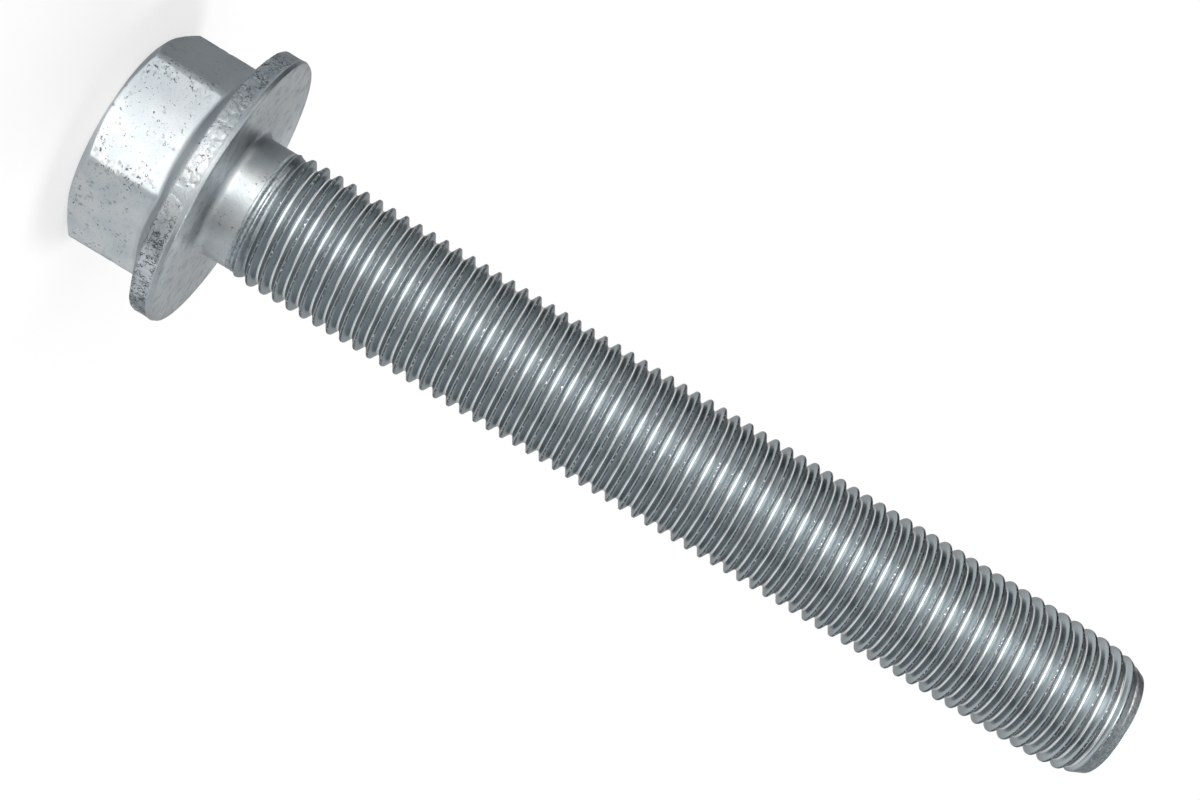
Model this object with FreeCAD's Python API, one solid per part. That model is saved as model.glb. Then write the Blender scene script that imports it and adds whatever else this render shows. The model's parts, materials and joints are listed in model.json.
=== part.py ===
import FreeCAD, Part
import math
import os

# One hex bolt with a flange, forged and rolled as a single piece of steel.
# Z = 0 is the bearing face under the flange, the shank runs up +Z to the tip,
# and the head lies below, so the bolt stands on the flat crown of its head.
# All sizes are in millimetres.

V = FreeCAD.Vector
ORIGIN = V(0, 0, 0)
UP = V(0, 0, 1)

# shank: a plain neck as thick as the blank, then the envelope of the thread's crests
SHANK_LENGTH = 100.0
NECK_DIA = 13.0
NECK_LENGTH = 3.2
UNDERHEAD_FILLET = 0.9
CREST_DIA = 13.85
RUNOUT_LENGTH = 2.3
TIP_DIA = 10.8
TIP_CHAMFER_LENGTH = 2.4
TIP_ROUND = 0.8

# flange: an upright rim, with a steep bevel down to the bearing face, under a shallow cone
FLANGE_DIA = 29.2
RIM_HEIGHT = 2.0
RIM_ROUND = 0.35
BEVEL_HEIGHT = 0.35
BEVEL_WIDTH = 0.2
FLANGE_SLOPE_DEG = 22.0

# head: a hexagon with worn corners, chamfered to a round flat crown
HEAD_HEIGHT = 12.1
ACROSS_FLATS = 20.7
HEX_SIDES = 6
HEX_CORNER_ROUND = 1.2
CROWN_DIA = 19.6
CROWN_ANGLE_DEG = 30.0
FOOT_FILLET = 0.7

# the cone runs on a little way inside the hexagon, and the hexagon starts inside the rim
rim_top = -(BEVEL_HEIGHT + RIM_HEIGHT)
cone_inner_r = ACROSS_FLATS / 2 - FOOT_FILLET
cone_rise = (FLANGE_DIA / 2 - cone_inner_r) * math.tan(math.radians(FLANGE_SLOPE_DEG))
cone_top = rim_top - cone_rise
hex_corner_r = ACROSS_FLATS / 2 / math.cos(math.pi / HEX_SIDES)


def corner_arc(before, corner, after, radius):
    """The arc that rounds one corner of a profile, tangent to the lines on both sides."""
    back = (before - corner).normalize()
    onward = (after - corner).normalize()
    half_angle = back.getAngle(onward) / 2
    setback = radius / math.tan(half_angle)
    centre = corner + (back + onward).normalize() * (radius / math.sin(half_angle))
    middle = centre + (corner - centre).normalize() * radius
    return Part.Arc(corner + back * setback, middle, corner + onward * setback)


def turned(profile):
    """The solid swept round the axis by a closed profile of (radius, z, rounding) corners."""
    corners = [V(r, 0, z) for r, z, rounding in profile]
    edges = []
    starts = []
    ends = []
    for i, (r, z, rounding) in enumerate(profile):
        corner = corners[i]
        starts.append(corner)
        ends.append(corner)
        if rounding:
            arc = corner_arc(corners[i - 1], corner, corners[(i + 1) % len(corners)], rounding)
            edges.append(arc.toShape())
            starts[i] = arc.StartPoint
            ends[i] = arc.EndPoint
    for i, end in enumerate(ends):
        edges.append(Part.makeLine(end, starts[(i + 1) % len(starts)]))
    outline = Part.Wire(Part.__sortEdges__(edges))
    return Part.Face(outline).revolve(ORIGIN, UP, 360)


def flange_and_shank():
    """Everything that is round: cone, rim, bevel, bearing face, neck, thread and tip."""
    rim_r = FLANGE_DIA / 2
    return turned([
        (0, cone_top, 0),
        (cone_inner_r, cone_top, 0),
        (rim_r, rim_top, RIM_ROUND),
        (rim_r, -BEVEL_HEIGHT, 0),
        (rim_r - BEVEL_WIDTH, 0, 0),
        (NECK_DIA / 2, 0, UNDERHEAD_FILLET),
        (NECK_DIA / 2, NECK_LENGTH, 0),
        (CREST_DIA / 2, NECK_LENGTH + RUNOUT_LENGTH, 0),
        (CREST_DIA / 2, SHANK_LENGTH - TIP_CHAMFER_LENGTH, 0),
        (TIP_DIA / 2, SHANK_LENGTH, TIP_ROUND),
        (0, SHANK_LENGTH, 0),
    ])


def is_upright(edge):
    """Does the edge run straight along the axis?"""
    ends = [vertex.Point for vertex in edge.Vertexes]
    return len(ends) == 2 and (ends[0] - ends[1]).cross(UP).Length < 1e-6


def hexagon():
    """The prism of the head, two of its flats square to X and its corners rounded."""
    angles = [2 * math.pi * (i + 0.5) / HEX_SIDES for i in range(HEX_SIDES)]
    corners = [V(hex_corner_r * math.cos(a), hex_corner_r * math.sin(a), rim_top) for a in angles]
    outline = Part.makePolygon(corners + corners[:1])
    prism = Part.Face(outline).extrude(V(0, 0, -HEAD_HEIGHT - rim_top))
    return prism.makeFillet(HEX_CORNER_ROUND, [edge for edge in prism.Edges if is_upright(edge)])


def crown():
    """The turned blank whose cone chamfers the hexagon's corners down to the flat crown."""
    crown_r = CROWN_DIA / 2
    drop = (hex_corner_r - crown_r) * math.tan(math.radians(CROWN_ANGLE_DEG))
    return turned([
        (0, -HEAD_HEIGHT, 0),
        (crown_r, -HEAD_HEIGHT, 0),
        (hex_corner_r, drop - HEAD_HEIGHT, 0),
        (hex_corner_r, rim_top, 0),
        (0, rim_top, 0),
    ])


def foot_edges(bolt):
    """The closed line where the hexagon's sides run out onto the flange's cone."""
    found = []
    for edge in bolt.Edges:
        sides = bolt.ancestorsOfType(edge, Part.Face)
        cones = [face for face in sides if isinstance(face.Surface, Part.Cone)]
        on_flange = cone_top < edge.BoundBox.ZMax < rim_top
        if on_flange and len(sides) == 2 and len(cones) == 1 and not edge.Degenerated:
            found.append(edge)
    return found


def flange_bolt():
    """The whole bolt: the chamfered hexagon blended into its flange, and the shank."""
    bolt = flange_and_shank().fuse(hexagon().common(crown()))
    return bolt.makeFillet(FOOT_FILLET, foot_edges(bolt)).Solids[0]


os.makedirs("parts", exist_ok=True)
flange_bolt().exportStep("parts/flange_bolt.step")
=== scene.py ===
import json
import math

import bpy
import numpy as np
from mathutils import Matrix, Vector

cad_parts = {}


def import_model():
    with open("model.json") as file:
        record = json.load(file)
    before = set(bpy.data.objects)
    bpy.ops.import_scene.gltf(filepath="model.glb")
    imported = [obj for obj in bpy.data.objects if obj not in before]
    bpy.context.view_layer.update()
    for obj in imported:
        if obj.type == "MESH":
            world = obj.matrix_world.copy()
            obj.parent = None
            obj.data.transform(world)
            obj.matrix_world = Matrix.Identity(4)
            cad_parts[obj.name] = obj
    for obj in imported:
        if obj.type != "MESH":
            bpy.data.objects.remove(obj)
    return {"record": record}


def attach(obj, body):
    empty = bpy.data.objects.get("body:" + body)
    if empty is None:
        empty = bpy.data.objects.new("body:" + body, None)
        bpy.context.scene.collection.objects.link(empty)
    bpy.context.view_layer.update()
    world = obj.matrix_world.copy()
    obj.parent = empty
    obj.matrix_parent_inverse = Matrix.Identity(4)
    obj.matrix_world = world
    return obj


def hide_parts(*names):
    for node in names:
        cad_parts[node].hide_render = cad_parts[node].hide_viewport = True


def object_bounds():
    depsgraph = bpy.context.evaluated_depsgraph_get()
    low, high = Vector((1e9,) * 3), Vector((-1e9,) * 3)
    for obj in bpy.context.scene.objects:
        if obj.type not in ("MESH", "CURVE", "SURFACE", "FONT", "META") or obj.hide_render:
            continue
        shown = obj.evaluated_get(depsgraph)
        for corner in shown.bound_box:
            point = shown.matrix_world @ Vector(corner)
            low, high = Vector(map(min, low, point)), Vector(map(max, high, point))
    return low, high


# The flange bolt as a finished piece of zinc plated steel, standing on its head on a pale floor.
# Meshes are worked out in millimetres and turned into metres when they are made.
# Z runs up the shank from the bearing face, X is square to one flat of the hexagon.

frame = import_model()
cad_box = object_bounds()

MM = 0.001
SIXTH = math.pi / 3
NODE = "flange_bolt"


def mount(name):
    """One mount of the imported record."""
    return next(m for m in frame["record"]["mounts"] if m["name"] == name)


# sizes that the frame gives, in millimetres
FLAT_R = mount("hex_flat_pos_x")["pos_m"][0] / MM
HEAD_Z = mount("crown_face")["pos_m"][2] / MM
CREST_R = mount("shank")["dims"]["r_mm"]
TIP_Z = cad_box[1].z / MM
RIM_R = cad_box[1].y / MM

# sizes that are the same as the construction's, in millimetres
CORNER_ROUND = 1.2
CROWN_R = 9.8
CROWN_SLOPE = math.tan(math.radians(30))
FLANGE_SLOPE = math.tan(math.radians(22))
BEVEL_HEIGHT = 0.35
BEVEL_WIDTH = 0.2
RIM_HEIGHT = 2.0
RIM_TOP = -(BEVEL_HEIGHT + RIM_HEIGHT)
RIM_ROUND = 0.35
NECK_R = 6.5
NECK_END = 3.2
UNDERHEAD_FILLET = 0.9
RUNOUT_LENGTH = 2.3
RUNOUT_END = NECK_END + RUNOUT_LENGTH

# finer sizes, read from the photograph: small roundings, and the tip, whose crests sink
# over the last turns before its chamfer
CROWN_ROUND = 0.3
CHAMFER_ROUND = 0.14
FOOT_FILLET = 0.45
BEVEL_ROUND = 0.08
TIP_R = 5.6
TIP_CHAMFER = 2.0
TIP_TAPER = 0.42
TAPER_LENGTH = 2.2
TIP_ROUND = 0.2

# the ring up to which the tip's flat end face is one fan of triangles
TIP_FACE_R = 4.6

# the rolled thread, which the construction holds as the envelope of its crests
PITCH = 1.5
FLANK_DEG = 30
ROOT_R = 6.12
ROOT_ROUND = 0.25
SHOULDER_ROUND = 0.17
SEAM_DEPTH = 0.03
UNEVEN_DEPTH = 0.010

# the thread's strip: where its first turn lies, the spare turns that its ends cut off, and
# how far short of the tip's end face it stops
THREAD_PHASE = 0.35
TURNS_BEFORE = 1.5
SPARE_TURNS = 3
TIP_EDGE = 0.25
STRIP_END = TIP_Z - TIP_EDGE

# the rolled rings between the plain neck and the first full crest
LEAD_IN_PITCH = 0.55
LEAD_IN_HEIGHT = 0.05
LEAD_IN_SWELL = 0.04

# the marks on the head, their depths and sizes in millimetres
WAVE_DEPTH = 0.018
SKIN_DEPTH = 0.004
HAMMER_DEPTH = 0.03
CREASE_DEPTH = 0.045
FINE_HAMMER_DEPTH = 0.012
WEAR_DEPTH = 0.08
PIT_COUNT = 240
PIT_SIZES = (0.12, 0.26)
PIT_DEPTHS = (0.015, 0.04)
DENT_COUNT = 60
DENT_SIZES = (0.18, 0.42)
DENT_DEPTHS = (0.02, 0.06)

# how finely the meshes follow their forms
HEAD_COLUMNS = 720
THREAD_COLUMNS = 96

# the corners of the head's outline, numbered from the middle of the crown
CROWN_EDGE = 1
CHAMFER_EDGE = 2
FOOT = 3
RIM_UPPER_EDGE = 4
RIM_LOWER_EDGE = 5
BEVEL_FOOT = 6
FILLET = 7


def lattice_noise(points, size, seed):
    """Smooth noise from -1 to 1 at each point, whose bumps are about size across."""
    cells = 64
    values = np.random.default_rng(seed).uniform(-1, 1, (cells, cells, cells))
    place = points / size
    low = np.floor(place).astype(int)
    part = place - low
    part = part * part * (3 - 2 * part)
    total = 0.0
    for dx in (0, 1):
        for dy in (0, 1):
            for dz in (0, 1):
                weight = np.ones(points.shape[:-1])
                for axis, step in enumerate((dx, dy, dz)):
                    along = part[..., axis]
                    weight = weight * (along if step else 1 - along)
                corner = (low + (dx, dy, dz)) % cells
                total = total + weight * values[corner[..., 0], corner[..., 1], corner[..., 2]]
    return total


def ramp(value, low, high):
    """0 below low, 1 above high, and smooth between them."""
    share = np.clip((value - low) / (high - low), 0, 1)
    return share * share * (3 - 2 * share)


def round_the_axis(radius, angles, z):
    """Points at these distances from the axis, angles and heights."""
    x = radius * np.cos(angles)
    y = radius * np.sin(angles)
    return np.stack([x, y, np.broadcast_to(z, x.shape)], -1)


def rounded_path(corners, counts):
    """Points along a line through (r, z, rounding) corners, with rounded corners as arcs.

    counts gives, for each corner, the steps in its arc and on the straight after it.
    Each point's place on the line comes back too: i at corner i, and evenly on between corners.
    """
    spots = [Vector((r, z)) for r, z, rounding in corners]
    arcs = []
    for i, (r, z, rounding) in enumerate(corners):
        if not rounding:
            arcs.append([spots[i]])
            continue
        back = (spots[i - 1] - spots[i]).normalized()
        onward = (spots[i + 1] - spots[i]).normalized()
        half = back.angle(onward) / 2
        setback = rounding / math.tan(half)
        centre = spots[i] + (back + onward).normalized() * rounding / math.sin(half)
        first = spots[i] + back * setback - centre
        final = spots[i] + onward * setback - centre
        turn = first.angle_signed(final)
        steps = counts[i][0]
        arc = []
        for k in range(steps + 1):
            swing = Matrix.Rotation(-turn * k / steps, 2)
            arc.append(centre + swing @ first)
        arcs.append(arc)
    points = []
    places = []
    for i, arc in enumerate(arcs):
        points += arc
        places += [float(i)] * len(arc)
        if i + 1 < len(arcs):
            start = arc[-1]
            end = arcs[i + 1][0]
            steps = counts[i][1]
            for k in range(1, steps):
                points.append(start.lerp(end, k / steps))
                places.append(i + k / steps)
    return np.array([[p.x, p.y] for p in points]), np.array(places)


def hexagon_radius(angle):
    """How far the hexagon's side is from the axis at an angle, its corners rounded."""
    from_corner = (angle + SIXTH) % SIXTH - SIXTH / 2
    centre = (FLAT_R - CORNER_ROUND) / math.cos(SIXTH / 2)
    arc_x = centre + CORNER_ROUND * math.cos(SIXTH / 2)
    arc_y = CORNER_ROUND * math.sin(SIXTH / 2)
    if abs(from_corner) < math.atan2(arc_y, arc_x):
        off = centre * math.sin(from_corner)
        return centre * math.cos(from_corner) + math.sqrt(CORNER_ROUND ** 2 - off ** 2)
    return FLAT_R / math.cos(SIXTH / 2 - abs(from_corner))


def head_section(angle):
    """The head's outline at one angle, from the middle of the crown to the end of the neck."""
    side = hexagon_radius(angle)
    chamfer_z = HEAD_Z + (side - CROWN_R) * CROWN_SLOPE
    foot_z = RIM_TOP - (RIM_R - side) * FLANGE_SLOPE
    corners = [
        (0, HEAD_Z, 0),
        (CROWN_R, HEAD_Z, CROWN_ROUND),
        (side, chamfer_z, CHAMFER_ROUND),
        (side, foot_z, FOOT_FILLET),
        (RIM_R, RIM_TOP, RIM_ROUND),
        (RIM_R, -BEVEL_HEIGHT, BEVEL_ROUND),
        (RIM_R - BEVEL_WIDTH, 0, BEVEL_ROUND),
        (NECK_R, 0, UNDERHEAD_FILLET),
        (NECK_R, NECK_END, 0),
    ]
    counts = [(0, 3), (3, 5), (3, 54), (8, 9), (5, 18), (2, 2), (2, 8), (7, 6), (0, 0)]
    return rounded_path(corners, counts)


def surface_normals(grid):
    """Unit normals of a grid of points whose columns go round the axis."""
    along = np.gradient(grid, axis=0)
    across = np.roll(grid, -1, axis=1) - np.roll(grid, 1, axis=1)
    normals = np.cross(across, along)
    length = np.linalg.norm(normals, axis=-1, keepdims=True)
    return normals / np.maximum(length, 1e-12)


def make_piece(name, points, faces, attributes, sharp):
    """A smooth shaded object in metres from points in millimetres.

    Edges between two of the points that sharp lists stay sharp.
    """
    mesh = bpy.data.meshes.new(name)
    mesh.from_pydata((points * MM).tolist(), [], faces)
    mesh.shade_smooth()
    for label, values in attributes.items():
        layer = mesh.attributes.new(label, "FLOAT", "POINT")
        layer.data.foreach_set("value", values.astype(np.float32))
    ring = set(sharp)
    for edge in mesh.edges:
        edge.use_edge_sharp = edge.vertices[0] in ring and edge.vertices[1] in ring
    mesh.validate()
    piece = bpy.data.objects.new(name, mesh)
    bpy.context.scene.collection.objects.link(piece)
    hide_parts(NODE)
    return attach(piece, "root")


def pits(grid, where, count, sizes, depths, seed):
    """Small round craters at random grid points that where allows, as a depth for each point."""
    draw = np.random.default_rng(seed)
    chance = where.ravel() / where.sum()
    depth = np.zeros(grid.shape[:2])
    for spot in draw.choice(where.size, count, p=chance):
        centre = grid.reshape(-1, 3)[spot]
        size = draw.uniform(*sizes)
        away = np.linalg.norm(grid - centre, axis=-1) / size
        depth = np.maximum(depth, draw.uniform(*depths) * (1 - ramp(away, 0.35, 1.0)))
    return depth


def head_masks(angles, radius, height, place):
    """What each point of the head is part of, as shares from 0 to 1.

    place counts the corners of the outline, and runs on evenly between them.
    """
    past_chamfer = ramp(place, CHAMFER_EDGE - 0.1, CHAMFER_EDGE + 0.1)
    past_foot = ramp(place, FOOT - 0.05, FOOT + 0.05)
    past_cone = ramp(place, RIM_UPPER_EDGE - 0.4, RIM_UPPER_EDGE - 0.05)
    past_rim = ramp(place, RIM_LOWER_EDGE - 0.15, RIM_LOWER_EDGE)
    bearing = ramp(place, BEVEL_FOOT - 0.1, BEVEL_FOOT)
    from_corner = np.abs((angles + SIXTH) % SIXTH - SIXTH / 2)
    return {
        "crown": 1 - ramp(place, CROWN_EDGE, CROWN_EDGE + 0.5),
        "chamfer": 1 - ramp(np.abs(place - CHAMFER_EDGE), 0.05, 0.4),
        "flats": past_chamfer * (1 - ramp(place, FOOT - 0.2, FOOT)),
        "corners": (1 - ramp(from_corner, 0.04, 0.16)) * np.ones_like(place),
        "cone": past_foot * (1 - past_cone),
        "rim": ramp(place, RIM_UPPER_EDGE - 0.5, RIM_UPPER_EDGE) * (1 - past_rim),
        "bevel": past_rim * (1 - ramp(place, BEVEL_FOOT, BEVEL_FOOT + 0.1)),
        "bearing": bearing,
        "by_neck": bearing * (1 - ramp(radius, 7.6, 13.5)) * (1 - ramp(height, 0.02, 0.3)),
        "neck": ramp(place, FILLET - 0.1, FILLET + 0.1),
        "neck_end": ramp(place, FILLET - 0.02, FILLET + 0.02),
    }


def head_relief(grid, on):
    """How far the surface lies under the smooth form, and how deep its small pits are."""
    wave = WAVE_DEPTH * (1 + lattice_noise(grid, 4.0, 1)) * (1 - on["bearing"])
    skin = SKIN_DEPTH * (1 + lattice_noise(grid, 0.7, 2))
    creases = 1 - ramp(np.abs(lattice_noise(grid, 0.9, 3)), 0.0, 0.3)
    hammered = HAMMER_DEPTH * (1 + lattice_noise(grid, 1.4, 10)) + CREASE_DEPTH * creases
    hammered = hammered + FINE_HAMMER_DEPTH * (1 + lattice_noise(grid, 0.45, 4))
    worn = np.clip(lattice_noise(grid, 0.55, 5), 0, 1) * WEAR_DEPTH * on["corners"] * on["flats"]
    crowded = 0.3 + ramp(lattice_noise(grid, 2.5, 6), 0.0, 0.6)
    where = on["flats"] * (0.25 + on["corners"] + on["chamfer"]) * crowded
    small = pits(grid, where, PIT_COUNT, PIT_SIZES, PIT_DEPTHS, 7)
    dents = pits(grid, on["rim"] + 0.02, DENT_COUNT, DENT_SIZES, DENT_DEPTHS, 9)
    depth = wave + skin + on["rim"] * hammered + worn + small + dents * on["rim"]
    # the neck stays plain, because its end has to meet the thread
    return depth * (1 - on["neck_end"]), small


def bolt_head():
    """Hexagon, flange, bearing face and neck, with the marks of forging and use."""
    angles = 2 * math.pi * np.arange(HEAD_COLUMNS) / HEAD_COLUMNS
    sections = [head_section(angle) for angle in angles]
    radius = np.array([outline[:, 0] for outline, places in sections]).T
    height = np.array([outline[:, 1] for outline, places in sections]).T
    place = sections[0][1][:, None] * np.ones(HEAD_COLUMNS)
    grid = round_the_axis(radius, angles, height)
    on = head_masks(angles, radius, height, place)
    depth, small = head_relief(grid, on)
    grid = grid - surface_normals(grid) * depth[..., None]
    grid[..., 2] = np.maximum(grid[..., 2], HEAD_Z)

    # the first row is the middle of the crown, so one point takes its place,
    # and one more closes the end of the neck
    rings = grid[1:].reshape(-1, 3)
    crown_middle = len(rings)
    neck_middle = crown_middle + 1
    points = np.concatenate([rings, [[0, 0, HEAD_Z], [0, 0, NECK_END]]])
    last = len(rings) - HEAD_COLUMNS
    columns = [(j, (j + 1) % HEAD_COLUMNS) for j in range(HEAD_COLUMNS)]
    faces = [(j, k, crown_middle) for j, k in columns]
    for low in range(0, last, HEAD_COLUMNS):
        high = low + HEAD_COLUMNS
        faces += [(low + j, low + k, high + k, high + j) for j, k in columns]
    faces += [(last + j, last + k, neck_middle) for j, k in columns]

    attributes = {
        "hammered": on["rim"],
        "pitted": np.clip(on["flats"] + on["crown"] * 0.4 + on["neck"] * 0.9, 0, 1),
        # painted shade in the crease under the flange, on the bearing face by the neck and on the
        # bevel
        "painted_shade": 0.8 * on["cone"] + 0.25 * on["by_neck"] + 0.5 * on["bevel"],
        "edge": np.maximum(on["corners"], on["chamfer"]) * on["flats"],
        "bearing": on["bearing"] * (1 - ramp(height, 0.02, 0.2)),
        "pit_depth": np.clip(small / max(PIT_DEPTHS), 0, 1),
    }
    attributes = {label: np.append(values[1:], [0, 0]) for label, values in attributes.items()}
    return make_piece("bolt_head", points, faces, attributes, range(last, len(rings)))


def thread_profile():
    """(axial offset, radius) along one turn of the thread, from root to root.

    The flanks stand at 60 degrees to each other. The root is an arc between them, and the
    crest has rounded shoulders with the shallow seam of a rolled thread between them.
    """
    flank = math.radians(FLANK_DEG)
    foot = ROOT_ROUND * math.cos(flank)
    foot_r = ROOT_R + ROOT_ROUND * (1 - math.sin(flank))
    shoulder_r = CREST_R - SHOULDER_ROUND * (1 - math.sin(flank))
    shoulder = PITCH / 2 - foot - (shoulder_r - foot_r) * math.tan(flank)
    top = shoulder - SHOULDER_ROUND * math.cos(flank)
    half = [(0.0, CREST_R - SEAM_DEPTH), (top, CREST_R)]
    for tilt in (30, 60):
        swing = math.radians(tilt)
        drop = SHOULDER_ROUND * (1 - math.cos(swing))
        half.append((top + SHOULDER_ROUND * math.sin(swing), CREST_R - drop))
    for share in (0.5, 1.0):
        offset = shoulder + (PITCH / 2 - foot - shoulder) * share
        half.append((offset, shoulder_r + (foot_r - shoulder_r) * share))
    for tilt in (40, 20):
        swing = math.radians(tilt)
        rise = ROOT_ROUND * (1 - math.cos(swing))
        half.append((PITCH / 2 - ROOT_ROUND * math.sin(swing), ROOT_R + rise))
    rising = [(-offset, r) for offset, r in half[:0:-1]]
    return np.array([(-PITCH / 2, ROOT_R)] + rising + half)


def tip_taper(z):
    """How far the crests sink at a height, over the last turns before the tip's chamfer."""
    before = TIP_Z - TIP_CHAMFER - np.asarray(z)
    return TIP_TAPER * np.exp(-np.maximum(before, 0) / TAPER_LENGTH)


def tip_envelope(z):
    """The largest radius at a height, on the shank and on the tip's chamfer."""
    beyond = np.maximum(np.asarray(z) - (TIP_Z - TIP_CHAMFER), 0)
    slope = (CREST_R - TIP_TAPER - TIP_R) / TIP_CHAMFER
    return CREST_R - tip_taper(z) - beyond * slope


def thread_radius(z, angles, full_r):
    """The thread's radius at each point, and how deep the point is in its groove.

    full_r is the radius that the point has on the full thread, which grows out of the neck
    through the lead-in rings and the run-out. At the tip its envelope cuts the thread off.
    """
    lift = full_r - NECK_R
    fade = ramp(z, NECK_END, RUNOUT_END)
    lead = ramp(z, NECK_END, NECK_END + 0.5) * (1 - ramp(z, NECK_END + 1.2, RUNOUT_END))
    rings = LEAD_IN_HEIGHT * lead * np.cos(2 * math.pi * (z - NECK_END) / LEAD_IN_PITCH)
    swell = LEAD_IN_SWELL * ramp(z, NECK_END, NECK_END + 0.6) * (1 - fade)
    radius = NECK_R + swell + rings + lift * fade
    points = round_the_axis(radius, angles, z)
    uneven = 2 + lattice_noise(points, 3.0, 11) + lattice_noise(points, 0.9, 12)
    radius = radius - UNEVEN_DEPTH * uneven * fade * ramp(lift, 0.25, 0.42)
    from_root = (full_r - ROOT_R) / (CREST_R - ROOT_R)
    radius = radius - tip_taper(z) * (0.4 + 0.6 * from_root)
    envelope = tip_envelope(z)
    depth = (1 - from_root) * fade * (radius < envelope - 0.01)
    return np.minimum(radius, envelope), depth


def bolt_thread():
    """The threaded shank from the end of the neck to the tip, as one helical strip."""
    profile = thread_profile()
    step = len(profile)
    turns = int(math.ceil((TIP_Z - NECK_END) / PITCH)) + SPARE_TURNS
    turn = np.repeat(np.arange(turns), step)[:, None]
    across = np.tile(profile[:, 0], turns)[:, None]
    full_r = np.tile(profile[:, 1], turns)[:, None]
    columns = np.arange(THREAD_COLUMNS)
    angles = 2 * math.pi * columns / THREAD_COLUMNS
    start = NECK_END - TURNS_BEFORE * PITCH + THREAD_PHASE * PITCH
    z = start + turn * PITCH + across + PITCH * columns / THREAD_COLUMNS
    z = np.clip(z, NECK_END, STRIP_END)
    radius, depth = thread_radius(z, angles, full_r)
    strip = round_the_axis(radius, angles, z).reshape(-1, 3)

    # rings close the strip: one at the neck, one at its end, and the rounded edge of the tip
    end_r = float(tip_envelope(STRIP_END))
    tip_corners = [
        (end_r, STRIP_END, 0),
        (TIP_R, TIP_Z, TIP_ROUND),
        (TIP_FACE_R, TIP_Z, 0),
        (0, TIP_Z, 0),
    ]
    tip_edge = rounded_path(tip_corners, [(0, 1), (5, 1), (0, 1), (0, 0)])[0][1:-1]
    outline = [(NECK_R, NECK_END), (end_r, STRIP_END), *tip_edge]
    rings = [round_the_axis(r, angles, h) for r, h in outline]
    points = np.concatenate([strip] + rings + [[[0, 0, NECK_END], [0, 0, TIP_Z]]])
    neck_middle = len(points) - 2
    tip_middle = len(points) - 1
    first_ring = len(strip)
    last_ring = first_ring + (len(rings) - 1) * THREAD_COLUMNS

    # the strip's points past its two ends are those of the rings there
    index = np.arange(len(strip)).reshape(z.shape)
    index = np.where(z <= NECK_END, first_ring + columns, index)
    index = np.where(z >= STRIP_END, first_ring + THREAD_COLUMNS + columns, index)

    faces = []
    for j in range(THREAD_COLUMNS):
        # the last column joins the first one a whole turn on
        k = (j + 1) % THREAD_COLUMNS
        shift = 0 if k else step
        for i in range(len(z) - 1 - shift):
            faces.append((index[i, j], index[i + shift, k], index[i + shift + 1, k], index[i + 1, j]))
    for j in range(THREAD_COLUMNS):
        k = (j + 1) % THREAD_COLUMNS
        faces.append((first_ring + k, first_ring + j, neck_middle))
        for low in range(first_ring + THREAD_COLUMNS, last_ring, THREAD_COLUMNS):
            high = low + THREAD_COLUMNS
            faces.append((low + j, low + k, high + k, high + j))
        faces.append((last_ring + j, last_ring + k, tip_middle))

    # faces that the ends have squeezed lose their doubled corners, or go
    faces = [tuple(dict.fromkeys(int(v) for v in face)) for face in faces]
    faces = [face for face in faces if len(face) > 2]
    used = np.unique([v for face in faces for v in face])
    renumber = np.full(len(points), -1)
    renumber[used] = np.arange(len(used))
    faces = [tuple(int(renumber[v]) for v in face) for face in faces]

    along = (turn + columns / THREAD_COLUMNS) * 2 * math.pi * CREST_R
    formed = ramp(z, RUNOUT_END - 1.0, RUNOUT_END) * (1 - ramp(z, TIP_Z - 1.6, TIP_Z - 1.0))
    added = len(points) - len(strip)
    attributes = {
        "across": np.append(across * np.ones(THREAD_COLUMNS), np.full(added, PITCH / 2))[used],
        "along": np.append(along, np.zeros(added))[used],
        "depth": np.append(depth, np.zeros(added))[used],
        "formed": np.append(formed, np.zeros(added))[used],
    }
    sharp = [int(v) for v in renumber[first_ring + columns]]
    return make_piece("bolt_thread", points[used], faces, attributes, sharp)


ZINC = (0.545, 0.595, 0.625)
ZINC_PALE = (0.635, 0.665, 0.68)
ZINC_DARK = (0.36, 0.42, 0.46)
THREAD_PALE = (0.41, 0.455, 0.475)
THREAD_DARK = (0.365, 0.41, 0.435)
CREST_SHADE = (0.20, 0.23, 0.25)
# painted highlight: the pale colour of the root lines and of the glints on the crests
PAINTED_HIGHLIGHT = (0.76, 0.785, 0.80)
PIT = (0.07, 0.08, 0.09)
# painted shade: the dark colour of the head's shaded side, the crease under the flange, the face by
# the neck, the bevel and the rim
PAINTED_SHADE_COLOUR = (0.26, 0.30, 0.33)
EDGE_TINT = (0.45, 0.45, 0.45, 1.0)

# how far the head's satin draws out its highlights, and which way
DRAWN = 0.75
DRAWN_TURN = 0.25

# heights of the bump in metres
HEAD_BUMP = 0.00003
THREAD_BUMP = 0.00004


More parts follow.
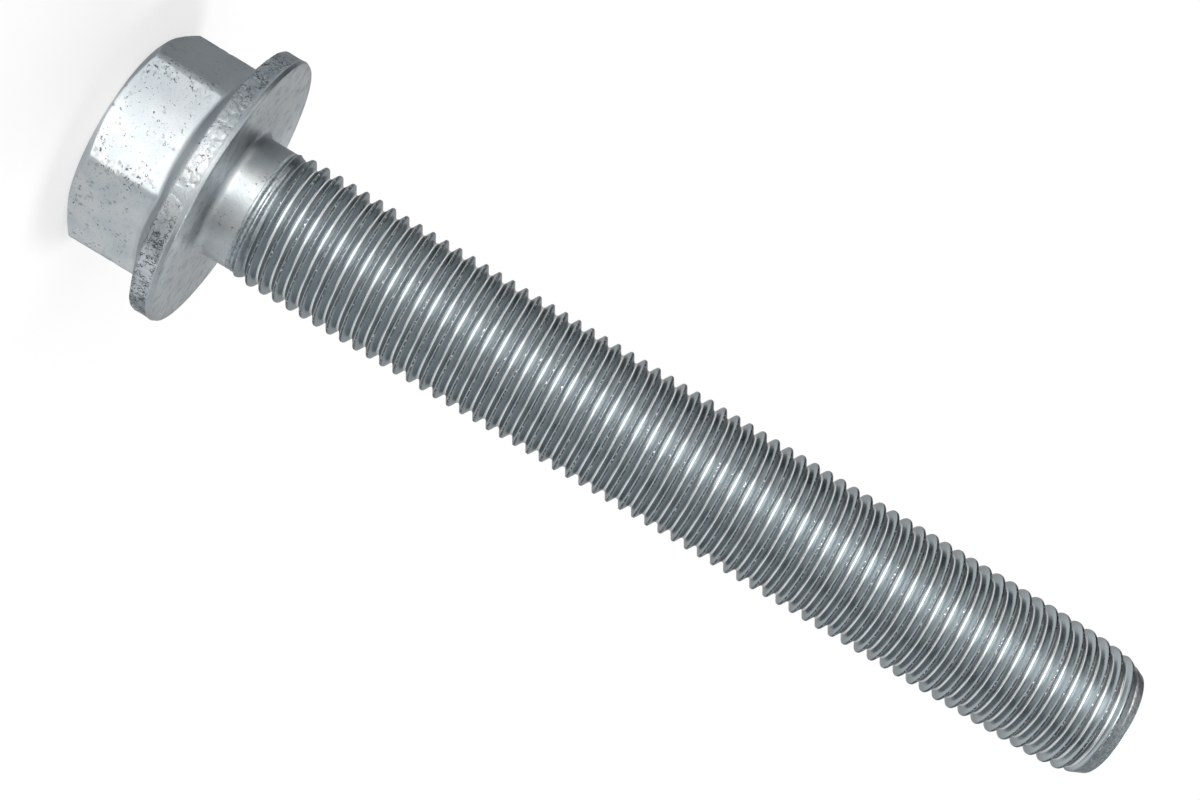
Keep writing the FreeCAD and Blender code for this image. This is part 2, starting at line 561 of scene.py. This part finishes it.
class Tree:
    """A short way to write the nodes of a material or a world."""

    def __init__(self, owner):
        owner.use_nodes = True
        self.nodes = owner.node_tree.nodes
        self.links = owner.node_tree.links
        self.nodes.clear()

    def add(self, kind, inputs=(), **settings):
        """One node, whose inputs are sockets to link or values to set."""
        node = self.nodes.new(kind)
        for key, value in settings.items():
            setattr(node, key, value)
        for socket, value in dict(inputs).items():
            if isinstance(value, bpy.types.NodeSocket):
                self.links.new(value, node.inputs[socket])
            else:
                node.inputs[socket].default_value = value
        return node

    def place(self):
        """A point's place on the bolt, in millimetres."""
        place = self.add("ShaderNodeTexCoord").outputs["Object"]
        scale = (1 / MM, 1 / MM, 1 / MM)
        return self.add("ShaderNodeVectorMath", {0: place, 1: scale}, operation="MULTIPLY").outputs[0]

    def attribute(self, name):
        return self.add("ShaderNodeAttribute", attribute_name=name).outputs["Fac"]

    def math(self, operation, a, b=0.0):
        return self.add("ShaderNodeMath", {0: a, 1: b}, operation=operation).outputs[0]

    def times(self, first, *others):
        for other in others:
            first = self.math("MULTIPLY", first, other)
        return first

    def dot(self, vector, direction):
        inputs = {0: vector, 1: tuple(direction)}
        return self.add("ShaderNodeVectorMath", inputs, operation="DOT_PRODUCT").outputs["Value"]

    def noise(self, vector, scale, detail=3.0, roughness=0.5):
        inputs = {"Vector": vector, "Scale": scale, "Detail": detail, "Roughness": roughness}
        return self.add("ShaderNodeTexNoise", inputs).outputs["Fac"]

    def spots(self, vector, scale):
        return self.add("ShaderNodeTexVoronoi", {"Vector": vector, "Scale": scale}).outputs["Distance"]

    def between(self, value, low, high, start=0.0, end=1.0):
        """start below low, end above high, and smooth between them."""
        inputs = {"Value": value, "From Min": low, "From Max": high, "To Min": start, "To Max": end}
        return self.add("ShaderNodeMapRange", inputs, interpolation_type="SMOOTHSTEP").outputs[0]

    def under(self, value, full, gone):
        """1 below full and 0 above gone."""
        return self.between(value, full, gone, 1.0, 0.0)

    def line(self, value, centre, full, gone):
        """1 where value is within full of centre, and 0 where it is gone or more away."""
        away = self.math("ABSOLUTE", self.math("SUBTRACT", value, centre))
        return self.under(away, full, gone)

    def mix(self, share, a, b):
        node = self.add("ShaderNodeMix", {"Factor": share}, data_type="RGBA")
        for socket, value in ((node.inputs[6], a), (node.inputs[7], b)):
            if isinstance(value, bpy.types.NodeSocket):
                self.links.new(value, socket)
            else:
                socket.default_value = (*value, 1.0)
        return node.outputs[2]

    def metal(self, colour, roughness, height, distance, **more):
        """The finished metal, its bump as high as distance in metres."""
        bump = self.add("ShaderNodeBump", {"Height": height, "Distance": distance, "Strength": 1.0})
        inputs = {
            "Base Color": colour,
            "Roughness": roughness,
            "Metallic": 1.0,
            "Specular Tint": EDGE_TINT,
            "Normal": bump.outputs["Normal"],
        }
        shader = self.add("ShaderNodeBsdfPrincipled", {**inputs, **more})
        self.add("ShaderNodeOutputMaterial", {"Surface": shader.outputs[0]})


# the camera, from where the photograph's perspective puts it: millimetres, degrees and pixels
CAMERA_HEIGHT = 36.6
CAMERA_ASIDE = -1.26
CAMERA_AWAY = 198.7
LOOK_UP_DEG = 1.21
DOWN_DEG = -19.7
ROLL_DEG = 31.1
FOCAL_PX = 2041.7
PHOTO_WIDTH = 1200
SENSOR = 36.0

# how near and how far the camera sees, in metres
NEAR_CLIP = 0.01
FAR_CLIP = 200

# the sides of the bolt, square to its axis: down the photograph's frame, and to the camera
DOWN = Vector((math.cos(math.radians(DOWN_DEG)), math.sin(math.radians(DOWN_DEG)), 0))
NEAR = Vector((math.sin(math.radians(DOWN_DEG)), -math.cos(math.radians(DOWN_DEG)), 0))
UP = Vector((0, 0, 1))

# the side towards the key light, where the rim keeps few creases and no painted shade and so is
# painted lighter, and the side of the head painted in shade
KEY_LIT_SIDE_DEG = 98
SHADED_SIDE_DEG = 175


def around(degrees, elevation=0.0):
    """A direction from the bolt: 0 is down the photograph's frame, 90 towards the camera."""
    flat = math.cos(math.radians(degrees)) * DOWN + math.sin(math.radians(degrees)) * NEAR
    return math.cos(math.radians(elevation)) * flat + math.sin(math.radians(elevation)) * UP


def rim_creases(t, place, crease_and_shade_side):
    """The thin dark creases and squiggles of the hammered rim, fewer on the side towards the key
    light, which paints that side lighter and the rest in shade.
    """
    creases = t.line(t.noise(place, 1.3, 2.5, 0.6), 0.5, 0.012, 0.03)
    creases = t.times(creases, t.between(t.noise(place, 1.2, 2.0), 0.42, 0.55))
    squiggles = t.line(t.noise(place, 2.3, 2.0, 0.55), 0.5, 0.02, 0.04)
    squiggles = t.times(squiggles, t.between(t.noise(place, 0.8, 3.0), 0.46, 0.54))
    both = t.math("MAXIMUM", creases, squiggles)
    return t.times(both, t.math("ADD", t.times(crease_and_shade_side, 0.75), 0.25))


def flat_marks(t, place, edge):
    """The dark flecks and the small open rings on the flats, which gather in clusters."""
    clusters = t.between(t.noise(place, 0.5, 3.0, 0.6), 0.50, 0.64)
    gather = t.math("ADD", t.times(clusters, 0.05), t.times(edge, 0.03))
    flecks = t.between(t.math("ADD", t.noise(place, 3.2, 3.0, 0.75), gather), 0.655, 0.685)
    rings = t.line(t.spots(place, 1.7), 0.20, 0.03, 0.06)
    rings = t.times(rings, t.between(t.noise(place, 2.6, 2.0), 0.52, 0.58), clusters)
    return t.math("MAXIMUM", flecks, rings)


def head_zinc():
    """Zinc over forged steel: pitted and scuffed flats, a hammered rim, satin below the flange, and
    painted shade on one side of the head, under the flange, by the neck, on the bevel and on the rim.
    """
    material = bpy.data.materials.new("zinc_head")
    t = Tree(material)
    place = t.place()
    hammered = t.attribute("hammered")
    pitted = t.attribute("pitted")
    bearing = t.attribute("bearing")

    patches = t.noise(place, 0.35, 4.0)
    grain = t.noise(place, 7.0, 3.0, 0.6)
    foil = t.noise(place, 2.2, 4.0, 0.65)
    scuffs = t.between(t.noise(place, 0.8, 6.0, 0.75), 0.50, 0.62)
    # painted shade on the rim: its creases thin out and its darker patches stay off the side towards
    # the key light
    crease_and_shade_side = t.under(t.dot(place, around(KEY_LIT_SIDE_DEG) / RIM_R), 0.82, 0.96)
    hollow = t.between(foil, 0.60, 0.66)
    mottle = t.times(t.math("MAXIMUM", rim_creases(t, place, crease_and_shade_side), hollow), hammered)
    marks = t.times(flat_marks(t, place, t.attribute("edge")), pitted)
    pit = t.math("MAXIMUM", marks, t.times(t.attribute("pit_depth"), 0.5))
    pit = t.math("MAXIMUM", pit, mottle)
    # painted shade: the head is coloured darker on its side facing the 175 degree direction, up to
    # 0.65 of the way to the shade colour, though not on the bearing face
    head_side_shade = t.between(t.dot(place, around(SHADED_SIDE_DEG) / NECK_R), 0.2, 1.0, 0.0, 0.65)
    head_side_shade = t.times(head_side_shade, t.math("SUBTRACT", 1.0, bearing))
    # painted shade: patches of darker colour on the rim, kept off the side towards the key light
    rim_patch_shade = t.times(t.between(patches, 0.35, 0.6), crease_and_shade_side, hammered)

    colour = t.mix(t.between(patches, 0.35, 0.65), ZINC, ZINC_PALE)
    colour = t.mix(t.between(grain, 0.58, 0.75, 0.0, 0.35), colour, ZINC_DARK)
    colour = t.mix(t.times(scuffs, bearing, 0.9), colour, ZINC_DARK)
    colour = t.mix(head_side_shade, colour, PAINTED_SHADE_COLOUR)
    # painted shade under the flange, by the neck and on the bevel
    colour = t.mix(t.times(t.attribute("painted_shade"), 0.65), colour, PAINTED_SHADE_COLOUR)
    colour = t.mix(t.times(rim_patch_shade, 0.85), colour, PAINTED_SHADE_COLOUR)
    colour = t.mix(t.times(pit, 0.88), colour, PIT)

    roughness = t.between(grain, 0.3, 0.7, 0.40, 0.48)
    roughness = t.math("ADD", roughness, t.times(pitted, 0.06))
    roughness = t.math("SUBTRACT", roughness, t.times(hammered, 0.03))
    roughness = t.math("SUBTRACT", roughness, t.times(bearing, 0.12))

    height = t.math("ADD", t.times(grain, 0.65), t.times(foil, hammered, 0.9))
    height = t.math("SUBTRACT", height, t.times(pit, 1.4))
    satin = {
        "Anisotropic": DRAWN,
        "Anisotropic Rotation": DRAWN_TURN,
        "Tangent": t.add("ShaderNodeTangent", direction_type="RADIAL", axis="Z").outputs[0],
    }
    t.metal(colour, roughness, height, HEAD_BUMP, **satin)
    return material


def thread_zinc():
    """Bright zinc on rolled flanks, streaked along the helix, with a broken seam on each crest, and
    painted highlights along the roots and in glints on the crests.
    """
    material = bpy.data.materials.new("zinc_thread")
    t = Tree(material)
    place = t.place()
    across = t.attribute("across")
    along = t.attribute("along")
    formed = t.attribute("formed")
    scratched = t.math("SUBTRACT", 1.0, formed)

    ribbon = t.add("ShaderNodeCombineXYZ", {0: t.times(across, 3.0), 1: along}).outputs[0]
    streaks = t.noise(ribbon, 0.35, 3.0, 0.55)
    clouds = t.noise(place, 0.25, 3.0)
    beads = t.noise(place, 5.5, 2.0, 0.6)

    wander = t.noise(t.add("ShaderNodeCombineXYZ", {0: along}).outputs[0], 1.6, 2.0)
    wander = t.times(t.math("SUBTRACT", wander, 0.5), 0.09)
    from_seam = t.math("ABSOLUTE", t.math("ADD", across, wander))
    seam = t.times(t.under(from_seam, 0.045, 0.075), t.under(beads, 0.58, 0.62), formed)
    glints = t.times(t.between(beads, 0.55, 0.60), t.under(from_seam, 0.05, 0.07), formed)
    shade = t.times(t.between(from_seam, 0.10, 0.16, 0.5, 0.0), formed)
    crest = t.under(from_seam, 0.04, 0.06)
    # painted highlight along the bottom of each root
    root = t.between(t.attribute("depth"), 0.92, 0.99)
    scratches = t.times(t.line(t.noise(place, 1.6, 3.0, 0.65), 0.5, 0.01, 0.03), scratched)
    scuffs = t.times(t.between(t.noise(place, 3.5, 4.0, 0.7), 0.54, 0.66), scratched)

    colour = t.mix(t.between(streaks, 0.3, 0.7), THREAD_DARK, THREAD_PALE)
    colour = t.mix(t.between(clouds, 0.4, 0.7, 0.0, 0.35), colour, THREAD_DARK)
    colour = t.mix(shade, colour, CREST_SHADE)
    # painted highlights at the roots and in the glints
    colour = t.mix(t.math("MAXIMUM", root, glints), colour, PAINTED_HIGHLIGHT)
    colour = t.mix(t.times(scuffs, 0.6), colour, ZINC_PALE)
    colour = t.mix(t.times(scratches, 0.6), colour, PIT)
    colour = t.mix(t.times(seam, 0.92), colour, PIT)

    roughness = t.between(streaks, 0.3, 0.7, 0.24, 0.34)
    roughness = t.math("ADD", roughness, t.times(scratched, 0.08))

    height = t.math("SUBTRACT", t.times(beads, crest, 0.5), t.times(seam, 0.8))
    height = t.math("ADD", height, t.times(streaks, 0.04))
    t.metal(colour, roughness, height, THREAD_BUMP)
    return material


def camera():
    """The photograph's view, rolled so that the shank runs down to the right."""
    data = bpy.data.cameras.new("camera")
    data.sensor_width = SENSOR
    data.lens = FOCAL_PX / PHOTO_WIDTH * SENSOR
    data.clip_start = NEAR_CLIP
    data.clip_end = FAR_CLIP
    look_up = math.radians(LOOK_UP_DEG)
    forward = math.sin(look_up) * UP - math.cos(look_up) * NEAR
    tip_way = math.cos(look_up) * UP + math.sin(look_up) * NEAR
    side = forward.cross(tip_way)
    roll = math.radians(ROLL_DEG)
    right = math.cos(roll) * tip_way - math.sin(roll) * side
    above = -(math.sin(roll) * tip_way + math.cos(roll) * side)
    turn = Matrix((right, above, -forward)).transposed()
    place = (CAMERA_HEIGHT * UP + CAMERA_ASIDE * DOWN + CAMERA_AWAY * NEAR) * MM
    item = bpy.data.objects.new("camera", data)
    item.matrix_world = Matrix.Translation(place) @ turn.to_4x4()
    bpy.context.scene.collection.objects.link(item)
    bpy.context.scene.camera = item


# the floor, 60 metres wide, and the share of white backdrop that the camera and the metal see in it
FLOOR_SIZE = 60.0
FLOOR_COLOUR = (0.95, 0.95, 0.95, 1.0)
FLOOR_ROUGHNESS = 0.8
BACKDROP_SHARE = 0.6
WHITE = (1.0, 1.0, 1.0, 1.0)


def floor():
    """A plain pale floor that the head stands on."""
    half = FLOOR_SIZE / 2
    z = HEAD_Z * MM
    corners = [(-half, -half, z), (half, -half, z), (half, half, z), (-half, half, z)]
    mesh = bpy.data.meshes.new("floor")
    mesh.from_pydata(corners, [], [(0, 1, 2, 3)])
    item = bpy.data.objects.new("floor", mesh)
    bpy.context.scene.collection.objects.link(item)
    material = bpy.data.materials.new("pale_floor")
    t = Tree(material)
    inputs = {"Base Color": FLOOR_COLOUR, "Roughness": FLOOR_ROUGHNESS, "Specular IOR Level": 0.0}
    paint = t.add("ShaderNodeBsdfPrincipled", inputs)
    backdrop = t.add("ShaderNodeEmission", {"Color": WHITE, "Strength": 1.0})
    path = t.add("ShaderNodeLightPath")
    seen = t.math("MAXIMUM", path.outputs["Is Camera Ray"], path.outputs["Is Glossy Ray"])
    seen = t.math("MAXIMUM", seen, path.outputs["Is Transmission Ray"])
    inputs = {0: t.times(seen, BACKDROP_SHARE), 1: paint.outputs[0], 2: backdrop.outputs[0]}
    mixed = t.add("ShaderNodeMixShader", inputs)
    t.add("ShaderNodeOutputMaterial", {"Surface": mixed.outputs[0]})
    mesh.materials.append(material)


# a distant round lamp behind the bolt and high up
SUN_TURN = 284
SUN_ELEVATION = 68
SUN_SPREAD_DEG = 20
SUN_STRENGTH = 1.4


def sun():
    """The soft lamp that lights the floor and gives the bolt its shadow."""
    data = bpy.data.lights.new("overhead", "SUN")
    data.angle = math.radians(SUN_SPREAD_DEG)
    data.energy = SUN_STRENGTH
    item = bpy.data.objects.new("overhead", data)
    item.rotation_mode = "QUATERNION"
    item.rotation_quaternion = (-around(SUN_TURN, SUN_ELEVATION)).to_track_quat("-Z", "Y")
    bpy.context.scene.collection.objects.link(item)


# Each patch of the studio is a direction as around takes it, the angles off that direction
# at which the patch ends and is full, and its brightness. Later ones cover earlier ones.
WORLD_GREY = (0.26, 0.265, 0.27)
PATCHES = [
    (-20, 5, 54, 26, (0.70, 0.71, 0.72)),
    (198, 14, 70, 38, (0.03, 0.035, 0.045)),
    (270, 10, 44, 24, (1.0, 1.0, 1.0)),
    (0, 90, 50, 30, (0.40, 0.41, 0.42)),
    (42, 14, 36, 14, (0.16, 0.165, 0.17)),
    (108, 5, 30, 9, (7.0, 6.8, 6.6)),
]

# The strip is an arc of light on the camera's side, between two angles off straight up.
STRIP_LIGHT = (2.1, 2.0, 1.92)
STRIP_OUTER = (72, 62)
STRIP_INNER = (52, 42)
STRIP_TURN = 114
STRIP_WIDTH = (86, 62)


def world():
    """The studio round the bolt: soft patches of light and shade, melting into each other."""
    owner = bpy.data.worlds.new("studio")
    bpy.context.scene.world = owner
    t = Tree(owner)
    way = t.add("ShaderNodeTexCoord").outputs["Generated"]

    def off(direction, wide, close, start=0.0, end=1.0):
        """start at more than wide degrees off a direction, end at less than close."""
        low = math.cos(math.radians(wide))
        high = math.cos(math.radians(close))
        return t.between(t.dot(way, direction), low, high, start, end)

    strip = t.times(off(UP, *STRIP_OUTER), off(UP, *STRIP_INNER, 1.0, 0.0))
    strip = t.times(strip, off(around(STRIP_TURN), *STRIP_WIDTH))
    colour = WORLD_GREY
    for degrees, elevation, ends, full, bright in PATCHES:
        colour = t.mix(off(around(degrees, elevation), ends, full), colour, bright)
    colour = t.mix(strip, colour, STRIP_LIGHT)
    studio = t.add("ShaderNodeBackground", {"Color": colour})
    t.add("ShaderNodeOutputWorld", {"Surface": studio.outputs[0]})


head = bolt_head()
head.data.materials.append(head_zinc())
thread = bolt_thread()
thread.data.materials.append(thread_zinc())
camera()
floor()
sun()
world()
bpy.context.scene.view_settings.view_transform = "Standard"
